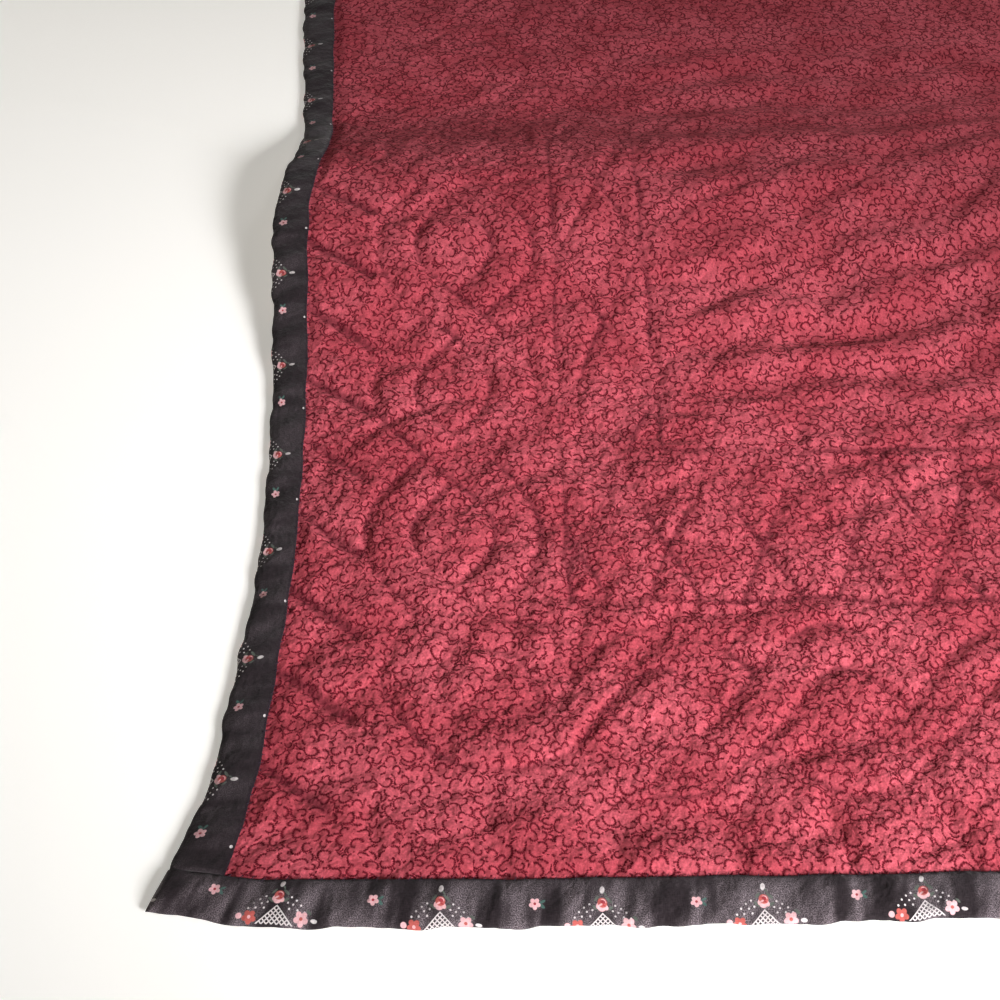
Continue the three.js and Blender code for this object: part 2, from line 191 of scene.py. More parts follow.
# Plain weave, in noise to a mm across and along its threads
WEAVE = {"across": 2.6, "along": 0.32}

# Scroll print of curls on discs, one to a cell: sizes in mm, or as shares of a cell, a turn or the line
SCROLL = {"cell": 3.9, "line": 1.36, "smallest": 0.62, "largest": 0.94, "stray": 0.9, "margin": 0.45}
CURL = {"sweep": 0.5, "wind": 0.25, "tail": 0.2, "hook": 0.38, "hooks": 0.6}
DYE = {"beads": 18, "bead": 0.22, "rough": 0.5, "full": 0.1, "end": 0.8}
SCROLL_PLACE = (3.0, 5.0, 0.5)
SCROLL_WARP = {"pitch": 9.0, "size": 3.0}
NEIGHBOURS = [(i, j, 0) for i in (-1, 0, 1) for j in (-1, 0, 1)]
APART = 9.0

# Factors that draw more random numbers from a disc's own number
DRAW = {"rank": 7.13, "flip": 3.17, "hooked": 11.9, "turn": 17.3}

# Flowers: petals, turn of the first in degrees, and reach, half sizes and heart as shares of their size
PETALS = 5
PETAL_TURN = 18
FLOWER = (0.58, 0.5, 0.42, 0.26)

# Floral tape, in mm: the checked wedge outside the rose, streaks of wear, wear across from the inner edge and
# the painted shadow line along that edge
WEDGE = {"point": 4.4, "height": 9.5, "check": 1.8, "line": 0.34, "blur": 0.08}
STREAK = {"turn": 0.14, "apart": 15.0, "long": 60.0}
TAPE_WEAR_AND_EDGE_SHADE = {"grows": (-12.0, 16.0), "ends": (28.0, 33.0), "seam": (1.2, 3.2)}

# The camera, which stands over the front left corner
CAMERA_PLACE = (-0.299, -0.977, 0.740)
CAMERA_DOWN = 47.2
CAMERA_RIGHT = 0.7
LENS = 57.6
SENSOR = 36.0
CLIP_START = 0.02

# Soft lights: name, place, what it faces, width and height in metres, spread in degrees, power, colour
LIGHTS = [
    ("key", (1.00, -1.55, 0.85), (-0.17, -0.42, 0), (0.7, 0.6), 37, 4.35, (1.0, 0.99, 0.99)),
    ("fill", (-1.9, -0.5, 1.7), (-0.9, 0.2, 0), (1.4, 1.4), 120, 2.6, (1.0, 0.93, 0.8)),
    ("back", (1.3, 1.7, 1.2), (0.55, 0.6, 0), (0.9, 0.9), 32, 2.3, (1.0, 0.98, 0.97)),
]
SKY = (1.0, 0.93, 0.78, 1.0)
SKY_STRENGTH = 0.025

# The floor sweeps up into a wall far behind the cover: distance from the middle, height
SWEEP = [(8.0, 0.0), (9.5, 0.35), (10.8, 1.2), (11.6, 2.4), (12.0, 4.5)]
SWEEP_SIDES = 48
# Painted light on the floor: it glows, strongest near the middle and fading out between these distances
GLOW = {"reach": (2.0, 9.0), "strength": (0.36, 0.09)}
FLOOR_DROP = 0.4 * MM


# Shape of the lying cloth
def wander(table, at):
    """An edge's stray inward at a place along it, on a smooth curve through its table."""
    places, inward = np.array(table, float).T * MM
    slopes = np.diff(inward) / np.diff(places)
    inner = (inward[2:] - inward[:-2]) / (places[2:] - places[:-2])
    slopes = np.concatenate([slopes[:1], inner, slopes[-1:]])
    k = np.clip(np.searchsorted(places, at, side="right") - 1, 0, len(places) - 2)
    span = places[k + 1] - places[k]
    f = (at - places[k]) / span
    rise = f * f * (3 - 2 * f)
    ease = span * (slopes[k] * f * (1 - f) ** 2 - slopes[k + 1] * f * f * (1 - f))
    return inward[k] + (inward[k + 1] - inward[k]) * rise + ease


def share(inset):
    """Share of an edge's wander that is left at a distance in from that edge."""
    return (1 - np.minimum(inset / EDGE_REACH, 1)) ** 2


def ridge_lift(s, t):
    """Height of the ridge over the floor at a place on the flat cloth."""
    ahead = t - RIDGE["crest"] - RIDGE["lean"] * s
    f = ahead / np.where(ahead < 0, RIDGE["front"], RIDGE["back"])
    return np.where(np.abs(f) < 1, RIDGE["height"] / 2 * (1 + np.cos(np.pi * f)), 0)


def spread_out(s, t, z):
    """Where a point of the flat cloth lies: s across, t from the front edge, z above its underside."""
    x = s + share(s) * wander(LEFT_EDGE, t) - share(WIDTH - s) * wander(RIGHT_EDGE, t)
    y = t + share(t) * wander(FRONT_EDGE, s) - share(LENGTH - t) * wander(BACK_EDGE, s)
    return np.stack([x, y, z + ridge_lift(s, t)], axis=-1)


def outline_middle():
    """Middle of the box round the cover's outline, which is the frame's origin."""
    s = np.linspace(0, WIDTH, 400)
    t = np.linspace(0, LENGTH, 500)
    sides = [(s, 0 * s), (s, 0 * s + LENGTH), (0 * t, t), (0 * t + WIDTH, t)]
    rim = np.concatenate([spread_out(a, b, 0 * a) for a, b in sides])
    return (rim.min(axis=0) + rim.max(axis=0)) / 2 * (1, 1, 0)


MIDDLE = outline_middle()


def lay(s, t, z):
    """A point of the flat cloth in the part's frame."""
    return spread_out(s, t, z) - MIDDLE


def soft_noise(s, t, pitch, layer):
    """Smooth noise over the flat cloth, from -1 to 1. Each layer has its own."""
    return np.array([noise.noise((a, b, layer + OFF_GRID)) for a, b in zip(s / pitch, t / pitch)])


def uneven(row, layer, s, t):
    """A share that varies softly over the cloth, between its least value and 1."""
    return np.clip(row["mean"] + row["swing"] * soft_noise(s, t, row["pitch"], layer), row["least"], 1)


def room_in(sides, s, t):
    """How far a place lies inside a rectangle that is set in from the cover's edges."""
    across = np.minimum(s - sides["side"], WIDTH - sides["side"] - s)
    along = np.minimum(t - sides["end"], LENGTH - sides["end"] - t)
    return np.minimum(across, along)


# Sewn lines, each an ordered row of flat points
def straight(start, end):
    count = math.ceil(math.dist(start, end) / LINE_STEP)
    return np.linspace(start, end, count + 1)


def rectangle(sides):
    """The four lines of a rectangle that is set in from the cover's edges."""
    side, end = sides["side"], sides["end"]
    corners = [(side, end), (WIDTH - side, end), (WIDTH - side, LENGTH - end), (side, LENGTH - end)]
    return [straight(corners[i], corners[(i + 1) % 4]) for i in range(4)]


def split_where(points, kept):
    """The unbroken runs of the points that are kept."""
    breaks = np.flatnonzero(np.diff(kept.astype(int))) + 1
    runs = zip(np.split(points, breaks), np.split(kept, breaks))
    return [run for run, shown in runs if shown[0] and len(run) > 2]


def cable_runs():
    """The cable's centre line: place(f, offset) along each side and each corner arc, with its eyes."""
    corner = CABLE["corner"]
    near = CABLE["inset"] + corner
    far_s, far_t = WIDTH - CABLE["inset"], LENGTH - CABLE["inset"]
    sides = [
        ((near, CABLE["inset"]), 0, WIDTH - 2 * near, CABLE["across"]),
        ((far_s, near), math.pi / 2, LENGTH - 2 * near, CABLE["along"]),
        ((WIDTH - near, far_t), math.pi, WIDTH - 2 * near, CABLE["across"]),
        ((CABLE["inset"], LENGTH - near), -math.pi / 2, LENGTH - 2 * near, CABLE["along"]),
    ]
    runs = []
    for start, heading, run, eyes in sides:
        start = np.array(start)
        ahead = np.array([math.cos(heading), math.sin(heading)])
        inward = np.array([-ahead[1], ahead[0]])
        centre = start + ahead * run + inward * corner

        def side(f, offset, start=start, ahead=ahead, inward=inward, run=run):
            return start + np.outer(f * run, ahead) + np.outer(offset, inward)

        def bend(f, offset, centre=centre, heading=heading):
            turn = heading - math.pi / 2 + f * math.pi / 2
            arm = np.stack([np.cos(turn), np.sin(turn)], axis=-1)
            return centre + arm * (corner - offset)[:, None]

        runs.append((run, eyes, side))
        runs.append((corner * math.pi / 2, 1, bend))
    return runs


def cable_lines():
    """The four edges of the two strands; the strand that passes under breaks at each crossing."""
    kept = {(strand, edge): [] for strand in (1, -1) for edge in (1, -1)}
    passed = 0
    for run, eyes, place in cable_runs():
        pace = math.pi * eyes / run
        f = np.arange(0, 1, LINE_STEP / (STRETCH * run))
        wave = (passed + f * eyes) * math.pi
        swing = CABLE["swing"] * np.sin(wave)
        half = CABLE["band"] / 2 * np.hypot(1, CABLE["swing"] * pace * np.cos(wave))
        over = np.where(np.round(wave / math.pi) % 2 == 0, 1, -1)
        for (strand, edge), parts in kept.items():
            offset = strand * swing + edge * half
            hidden = (over != strand) & (np.abs(offset - over * swing) < half)
            parts.append((place(f, offset), ~hidden))
        passed += eyes
    lines = []
    for parts in kept.values():
        points = np.concatenate([places for places, _ in parts])
        shown = np.concatenate([seen for _, seen in parts])
        lines += split_where(points, shown)
    return lines


def lattice_lines():
    """Two families of slanting lines between the frame line and the middle panel."""
    spacing = (WIDTH - 2 * LATTICE["side"]) / LATTICE["columns"]
    slope = spacing / ((LENGTH - 2 * LATTICE["end"]) / LATTICE["rows"])
    reach = math.ceil(LENGTH / spacing)
    ends = (FRAME["end"], LENGTH - FRAME["end"])
    lines = []
    for k in range(-reach, reach + 1):
        at = LATTICE["side"] + k * spacing
        for way in (1, -1):
            line = straight(*[(at + way * slope * (t - LATTICE["end"]), t) for t in ends])
            in_band = (room_in(FRAME, *line.T) > 0) & (room_in(PANEL, *line.T) <= 0)
            lines += split_where(line, in_band)
    return lines


def pucker_lines():
    """Short slanting pulls between the binding and the cable."""
    lines = []
    for t in np.arange(PUCKER["first"], LENGTH - PUCKER["first"] / 2, PUCKER["pitch"]):
        line = straight((TAPE, t), (PUCKER["inner"], t + PUCKER["slant_side"]))
        lines += [line, (WIDTH, 0) + line * (-1, 1)]
    for s in np.arange(PUCKER["first"], WIDTH - PUCKER["first"] / 2, PUCKER["pitch"]):
        line = straight((s, TAPE), (s + PUCKER["slant_end"], PUCKER["inner"]))
        lines += [line, (0, LENGTH) + line * (1, -1)]
    return lines


def hand_sewn(lines):
    """The lines as sewn by hand, a little off the drawn ones."""
    strayed = []
    for line in lines:
        aside = [HAND["stray"] * soft_noise(*line.T, HAND["pitch"], layer) for layer in HAND["layers"]]
        strayed.append(line + np.stack(aside, axis=-1))
    return strayed


SEWN = {
    "cable": hand_sewn(cable_lines()),
    "frame": hand_sewn(rectangle(FRAME) + rectangle(PANEL)),
    "lattice": hand_sewn(lattice_lines()),
    "pucker": hand_sewn(pucker_lines()),
}


class Lines:
    """A set of sewn lines, with the nearest point on them."""

    def __init__(self, rows):
        self.points = np.concatenate(rows)
        starts = RIPPLE_STRAY["start"] * np.arange(len(rows))
        self.along = np.concatenate([np.arange(len(row)) * LINE_STEP + at for row, at in zip(rows, starts)])
        self.tree = KDTree(len(self.points))
        for i, (s, t) in enumerate(self.points):
            self.tree.insert((s, t, 0), i)
        self.tree.balance()

    def nearest(self, s, t):
        found = [self.tree.find((a, b, 0))[1:] for a, b in zip(s, t)]
        return np.array([i for i, _ in found]), np.array([d for _, d in found])


LINES = {kind: Lines(rows) for kind, rows in SEWN.items()}


# Relief of the printed face
def puff_share(distance):
    """Share of a full puff at a distance from a sewn line."""
    return np.sin(np.pi / 2 * np.clip(distance / PUFF_REACH, 0, 1))


def fold_height(s, t):
    """Height of the slack folds, which fade out at the edges of the middle panel."""
    fade = np.clip(room_in(PANEL, s, t) / FOLDS["fade"], 0, 1)
    bow = FOLDS["bow"] * np.sin(2 * np.pi * s / FOLDS["bow_pitch"])
    stray, swelling = [soft_noise(s, t, FOLD_STRAY["pitch"], layer) for layer in FOLD_STRAY["layers"]]
    turn = 2 * np.pi * (t - FOLDS["slant"] * s) / FOLDS["pitch"] + bow + FOLD_STRAY["turn"] * stray
    swell = 1 + FOLD_STRAY["swell"] * swelling
    return FOLDS["height"] * FOLD_STRAY["share"] * fade * swell * np.sin(turn)


def calm(t):
    """Share of the creasing that shows at a distance from the front edge."""
    return np.interp(t, *np.array(CALM).T)


def crease_depth(s, t):
    """Depth of the soft creases that wander over the cloth and fade in and out."""
    total = np.zeros_like(s)
    for angle, length, spacing, depth, (run_layer, shown_layer) in CREASES:
        turn = math.radians(angle)
        ahead = (s * math.cos(turn) + t * math.sin(turn)) / length
        aside = (t * math.cos(turn) - s * math.sin(turn)) / spacing
        wave = soft_noise(ahead, aside, 1.0, run_layer)
        shown = uneven(CREASE_SHOWN, shown_layer, s, t)
        total += depth * shown * np.exp(-((wave / CREASE_WIDTH) ** 2))
    return total


def relief(s, t):
    """Height of the printed face above the underside, and the painted shade beside its sewn lines and
    puckers.
    """
    shares = []
    ripple = np.zeros_like(s)
    seam = np.full_like(s, 1.0)
    tightness = uneven(DEPTH_STRAY, DEPTH_STRAY["layer"], s, t) * calm(t)
    for kind, lines in LINES.items():
        index, distance = lines.nearest(s, t)
        shares.append(1 - DEPTH[kind] * tightness * (1 - puff_share(distance)))
        if kind == "pucker":
            by_a_side = np.minimum(s, WIDTH - s) < np.minimum(t, LENGTH - t)
            # Painted shade beside a pucker, on the cover's sides only
            pucker_shade = PUCKER_SHADE["share"] * tightness * (1 - np.minimum(distance / PUCKER_SHADE["reach"], 1))
            pucker_shade = np.minimum(pucker_shade, 1) * by_a_side
            continue
        turn = 2 * np.pi * lines.along[index] / RIPPLE["pitch"]
        turn += RIPPLE_STRAY["turn"] * soft_noise(s, t, RIPPLE_STRAY["pitch"], RIPPLE_STRAY["layer"])
        closer = distance < seam
        wave = RIPPLE["height"] * np.sin(turn) * np.exp(-((distance / RIPPLE["reach"]) ** 2))
        ripple = np.where(closer, wave, ripple)
        seam = np.minimum(seam, distance)
    puff = np.min(shares, axis=0)
    crumple = sum(height * soft_noise(s, t, pitch, layer) for pitch, height, layer in CRUMPLE)
    crumple -= crease_depth(s, t) * (CREASE_SEWN + (1 - CREASE_SEWN) * np.clip(seam / CREASE_CLEAR, 0, 1))
    crumple *= calm(t)
    uneven_part = crumple * (CRUMPLE_SEWN + (1 - CRUMPLE_SEWN) * puff)
    height = VALLEY + PUFF * puff + fold_height(s, t) + ripple + uneven_part
    rise = np.clip((room_in(WHOLE, s, t) - COVERED) / EDGE_SLOPE, 0, 1)
    beside = PRESSED_TOP + (PUFF + crumple) * rise * rise * (3 - 2 * rise)
    height = np.minimum(height, beside) - THINNEST
    # Painted shade in the groove of each sewn line, uneven along it, joined with the painted shade beside the
    # puckers
    painted_seam_shade = uneven(SEAM_SHADE_STRAY, SEAM_SHADE_STRAY["layer"], s, t) * (1 - np.minimum(seam / SEAM_SHADE_REACH, 1))
    painted_seam_shade = calm(t) * np.maximum(painted_seam_shade, pucker_shade)
    return THINNEST + MM * np.logaddexp(0, height / MM), painted_seam_shade


# Meshes
def run_along(points):
    """Distance along a row of points, at each of them."""
    steps = np.linalg.norm(np.diff(points, axis=0), axis=1)
    return np.concatenate([[0], np.cumsum(steps)])


def cell_corners(grid):
    """The four corners of every cell of a grid, in turn."""
    return grid[:-1, :-1], grid[:-1, 1:], grid[1:, 1:], grid[1:, :-1]


def bands(rings):
    """Four-cornered faces between neighbouring rings of points."""
    turned = np.roll(rings, -1, axis=1)
    return np.stack([rings[:-1], turned[:-1], turned[1:], rings[1:]], axis=-1).reshape(-1, 4)


def piece(name, points, faces, materials, slots=None):
    """A smooth mesh object from arrays of points and faces."""
    mesh = bpy.data.meshes.new(name)
    mesh.from_pydata([tuple(p) for p in points], [], faces)
    mesh.update()
    mesh.shade_smooth()
    for material in materials:
        mesh.materials.append(material)
    if slots is not None:
        mesh.polygons.foreach_set("material_index", slots)
    made = bpy.data.objects.new(name, mesh)
    bpy.context.scene.collection.objects.link(made)
    return made


def corners_of(mesh):
    """The point that each face corner uses."""
    index = np.empty(len(mesh.loops), np.int32)
    mesh.loops.foreach_get("vertex_index", index)
    return index


def map_corners(mesh, name, places):
    """Adds a map that gives every face corner its flat place."""
    layer = mesh.uv_layers.new(name=name)
    layer.uv.foreach_set("vector", np.ascontiguousarray(places, np.float32).ravel())


def stations(total, count):
    """Places along an edge: a margin, an even run and the other margin."""
    even = np.linspace(FACE_START, total - FACE_START, count)
    return np.concatenate([FACE_MARGIN, even, total - FACE_MARGIN[::-1]])


def under_stations(count):
    """The stations of the underside, with those beside the binding."""
    return [0, 2, *range(3, count - 3, UNDER_EVERY), count - 3, count - 1]


def squeezed(flat, step):
    """Which points of a grid have a cell that is folded over or nearly shut."""
    a, b, c, d = cell_corners(flat)
    shut = np.zeros(a.shape[:2], bool)
    for before, corner, after in ((d, a, b), (a, b, c), (b, c, d), (c, d, a)):
        ahead, behind = after - corner, before - corner
        area = ahead[..., 0] * behind[..., 1] - ahead[..., 1] * behind[..., 0]
        shut |= area < SHUT * step * step
    found = np.zeros(flat.shape[:2], bool)
    for corner in cell_corners(found):
        corner |= shut
    return found


def snapped_to_lines(flat, step):
    """The grid with the points near a sewn line moved onto it, and which moved."""
    s, t = flat.reshape(-1, 2).T
    best = np.full_like(s, step / 2)
    free = room_in(WHOLE, s, t) > FACE_START + step
    moved = np.stack([s, t], axis=-1)
    on_line = np.zeros(len(s), bool)
    for lines in LINES.values():
        index, distance = lines.nearest(s, t)
        closer = free & (distance < best)
        moved[closer] = lines.points[index[closer]]
        best[closer] = distance[closer]
        on_line |= closer
    moved, on_line = moved.reshape(flat.shape), on_line.reshape(flat.shape[:2])
    for _ in range(SNAP_ROUNDS):
        back = squeezed(moved, step) & on_line
        moved[back] = flat[back]
        on_line &= ~back
    return moved, on_line


def quilt_mesh(materials):
    """The filled cloth: a fine printed face, a coarse underside and the edge inside the binding."""
    columns = stations(WIDTH, FACE_COLUMNS)
    rows = stations(LENGTH, FACE_ROWS)
    wide, high = len(columns), len(rows)
    grid = np.stack(np.meshgrid(columns, rows), axis=-1)
    step = columns[5] - columns[4]
    places, on_line = snapped_to_lines(grid, step)
    s, t = places.reshape(-1, 2).T
    on_line = on_line.ravel()
    height, painted_seam_shade = relief(s, t)

    index = np.arange(wide * high).reshape(high, wide)
    a, b, c, d = [corner.ravel() for corner in cell_corners(index)]
    even = (np.add.outer(np.arange(high - 1), np.arange(wide - 1)) % 2 == 0).ravel()
    rising = (on_line[a] & on_line[c]) | (even & ~(on_line[b] & on_line[d]))
    first = np.where(rising[:, None], np.stack([a, b, c], 1), np.stack([a, b, d], 1))
    second = np.where(rising[:, None], np.stack([a, c, d], 1), np.stack([b, c, d], 1))
    top = np.concatenate([first, second])

    under_i, under_j = under_stations(wide), under_stations(high)
    under_s, under_t = [x.ravel() for x in np.meshgrid(columns[under_i], rows[under_j])]
    under_z = np.where(room_in(WHOLE, under_s, under_t) < COVERED + GAP, PRESSED_FLOOR, 0)
    low = wide * high + np.arange(len(under_s)).reshape(len(under_j), len(under_i))
    a, b, c, d = cell_corners(low)
    bottom = np.stack([a, d, c, b], axis=-1).reshape(-1, 4)
    rim = []
    for line, below, stops, turned in (
        (index[0], low[0], under_i, False),
        (index[-1], low[-1], under_i, True),
        (index[:, -1], low[:, -1], under_j, False),
        (index[:, 0], low[:, 0], under_j, True),
    ):
        for k in range(len(stops) - 1):
            over = line[stops[k]:stops[k + 1] + 1]
            face = [below[k], below[k + 1], *over[::-1]]
            rim.append([int(v) for v in (face[::-1] if turned else face)])

    all_s, all_t = np.concatenate([s, under_s]), np.concatenate([t, under_t])
    points = lay(all_s, all_t, np.concatenate([height, under_z]))
    faces = [*top.tolist(), *bottom.tolist(), *rim]
    slots = np.repeat([0, 1], [len(top), len(bottom) + len(rim)]).astype(np.int32)
    made = piece("quilt", points, faces, materials, slots)

    corner = corners_of(made.data)
    flat = np.stack([all_s, all_t], axis=-1)[corner]
    map_corners(made.data, "Cloth", flat)
    on_top = np.arange(len(corner)) < 3 * len(top)
    beside = flat * (BAKE_UNDER_WIDE, 1 / BAKE_SPAN) + (BAKE_UNDER_START, 0)
    map_corners(made.data, "OFBake", np.where(on_top[:, None], flat / BAKE_SPAN, beside))
    # Painted shade beside the sewn lines, kept on the points for the cloth's colour
    values = np.concatenate([painted_seam_shade, np.zeros(len(under_s))]).astype(np.float32)
    made.data.attributes.new("painted_seam_shade", "FLOAT", "POINT").data.foreach_set("value", values)
    return made


# Binding strips
def on_edge(node, at, inset):
    """The flat place at a distance along a strip's edge and in from it."""
    places = {
        "binding_front": (at, inset),
        "binding_back": (at, LENGTH - inset),
        "binding_left": (inset, at),
        "binding_right": (WIDTH - inset, at),
    }
    return places[node]


def seam_stray(row, at):
    """How far inward the sewn edge of a strip strays at a place along it."""
    layer = row["layer"] + SEAM_STRAY["layer"]
    return SEAM_STRAY["out"] * soft_noise(at, 0 * at, SEAM_STRAY["pitch"], layer)


def strip_mesh(row, material):
    """A folded strip, a little slack along its fold."""
    start, end = row["ends"]
    count = round((end - start) / STRIP_STEP)
    at = np.linspace(start, end, count + 1)
    over, under = np.array(STRIP_OVER) * MM, np.array(STRIP_UNDER) * MM
    section = np.concatenate([over, under])
    across = run_along(over)
    across = np.concatenate([across, np.full(len(under), across[STRIP_FOLD])])
    wide = len(section)

    u, v = [x.ravel() for x in np.meshgrid(at, across, indexing="ij")]
    inset = np.tile(section[:, 0], len(at))
    z = np.tile(section[:, 1], len(at))
    outer = np.tile(np.arange(wide) < len(over), len(at))
    stray = soft_noise(u, v, STRIP_STRAY["pitch"], row["layer"]) * STRIP_STRAY["turn"]
    wave = 0
    for pitch, slant, height, phase in STRIP_WAVES:
        turn = 2 * np.pi * (u + slant * v) / (pitch * MM) + phase + stray
        wave = wave + height * MM * np.sin(turn)
    hump = np.sin(np.pi * np.clip(v / STRIP_FACE, 0, 1)) ** HUMP
    rest = np.where(z > STRIP_ABOVE, STRIP_REST, 0)
    z = np.maximum(z + np.where(outer & (v < STRIP_FACE), wave * hump, 0), rest)
    slack = 0
    for pitch, out, phase in SCALLOPS:
        turn = np.pi * u / (pitch * MM) + phase + stray
        slack = slack + out * MM * (2 * np.abs(np.sin(turn)) - SCALLOP_MIDDLE)
    slack = np.maximum(slack, SCALLOP_IN)
    near_fold = np.clip(1 - inset / SCALLOP_REACH, 0, 1)
    near_seam = np.clip((inset - SEAM_STRAY["from"]) / SEAM_STRAY["over"], 0, 1)
    inset = inset - np.where(outer, slack * near_fold, 0) + seam_stray(row, u) * near_seam
    if row["ends"] == ACROSS:
        close = np.clip(np.minimum(u - start, end - u) / CLOSED["reach"], 0, 1)
        squeeze = np.sqrt(1 - (1 - close) ** 2)
        z = FOLD_HEIGHT + (z - FOLD_HEIGHT) * (CLOSED["least"] + (1 - CLOSED["least"]) * squeeze)
    s, t = on_edge(row["node"], u, inset)
    points = lay(s, t, np.maximum(z, 0))

    ids = np.arange(len(at) * wide).reshape(len(at), wide)
    mirrored = row["node"] in ("binding_front", "binding_right")
    quads = bands(ids)[:, ::-1] if mirrored else bands(ids)
    caps = [ids[0].tolist()[::1 if mirrored else -1], ids[-1].tolist()[::-1 if mirrored else 1]]
    made = piece(row["node"] + "_tape", points, [*quads.tolist(), *caps], [material])

    corner = corners_of(made.data)
    spine = lay(*on_edge(row["node"], at, np.full_like(at, TAPE / 2)), np.full_like(at, FOLD_HEIGHT))
    length = np.repeat(run_along(spine), wide)
    along, off = np.array(row["rose"]) * MM
    drift = row["drift"] * DRIFT["across"] * np.sin(2 * np.pi * (length - along) / DRIFT["pitch"])
    map_corners(made.data, "Print", np.stack([length - along, v - off - drift], axis=-1)[corner])
    map_corners(made.data, "Tape", np.stack([length, v], axis=-1)[corner])
    # Share of paler wear on this strip; set low on the left strip as painted shade
    wear_and_shade = np.full(len(points), row["wear_and_shade"], np.float32)
    made.data.attributes.new("wear_and_shade", "FLOAT", "POINT").data.foreach_set("value", wear_and_shade)
    return made


# Stitches
def thread_mesh(name, paths, radius, material):
    """One mesh of short round threads, each along its own path."""
    paths = np.asarray(paths)
    count, length, _ = paths.shape
    ahead = np.gradient(paths, axis=1)
    ahead /= np.linalg.norm(ahead, axis=2, keepdims=True)
    side = np.cross(ahead, (0, 0, 1))
    side /= np.linalg.norm(side, axis=2, keepdims=True)
    over = np.cross(side, ahead)
    turns = np.arange(THREAD_SIDES) / THREAD_SIDES * 2 * np.pi
    thin = np.sin(np.linspace(*THREAD_TAPER, length) * np.pi) ** 0.5 * radius
    ring = side[:, :, None] * np.cos(turns)[:, None] + over[:, :, None] * np.sin(turns)[:, None]
    points = paths[:, :, None] + ring * thin[None, :, None, None]
    ids = np.arange(count * length * THREAD_SIDES).reshape(count, length, THREAD_SIDES)
    turned = np.roll(ids, -1, axis=2)
    quads = np.stack([ids[:, :-1], ids[:, 1:], turned[:, 1:], turned[:, :-1]], axis=-1).reshape(-1, 4)
    ends = np.concatenate([ids[:, 0], ids[:, -1, ::-1]])
    return piece(name, points.reshape(-1, 3), [*quads.tolist(), *ends.tolist()], [material])


def quilting_paths(cloth):
    """Running stitches on the sewn lines, each a low arch that dips into the cloth."""
    mesh = cloth.data
    surface = BVHTree.FromPolygons([v.co for v in mesh.vertices], [p.vertices for p in mesh.polygons])
    middles, headings = [], []
    for kind in ("cable", "frame", "lattice"):
        for line in SEWN[kind]:
            along = run_along(line)
            for place in np.arange(STITCH["pitch"] / 2, along[-1], STITCH["pitch"]):
                k = min(np.searchsorted(along, place), len(line) - 2)
                step = line[k + 1] - line[k]
                middles.append(line[k])
                headings.append(step / np.hypot(*step))
    middles, headings = np.array(middles), np.array(headings)
    reach = np.linspace(-0.5, 0.5, THREAD_POINTS)
    arch = STITCH["rise"] - (STITCH["rise"] + STITCH["sink"]) * (2 * reach) ** 2
    flat = middles[:, None] + headings[:, None] * (reach * STITCH["long"])[None, :, None]
    s, t = flat.reshape(-1, 2).T
    over = lay(s, t, np.full_like(s, ABOVE))
    points = np.array([surface.ray_cast(place, (0, 0, -1))[0] for place in over])
    points[:, 2] += np.tile(arch, len(middles))
    return points.reshape(len(middles), len(reach), 3)


def slip_paths():
    """Small slanting stitches that hold each strip's inner edge to the cloth."""
    paths = []
    insets, heights = np.array(SLIP_SHAPE).T * MM
    for row in STRIPS:
        start, end = row["ends"]
        for at in np.arange(start + SLIP["margin"], end - SLIP["margin"], SLIP["pitch"]):
            places = at + np.linspace(0, SLIP["lean"], len(insets))
            s, t = on_edge(row["node"], places, insets + seam_stray(row, places))
            paths.append(lay(s, t, heights))
    return paths


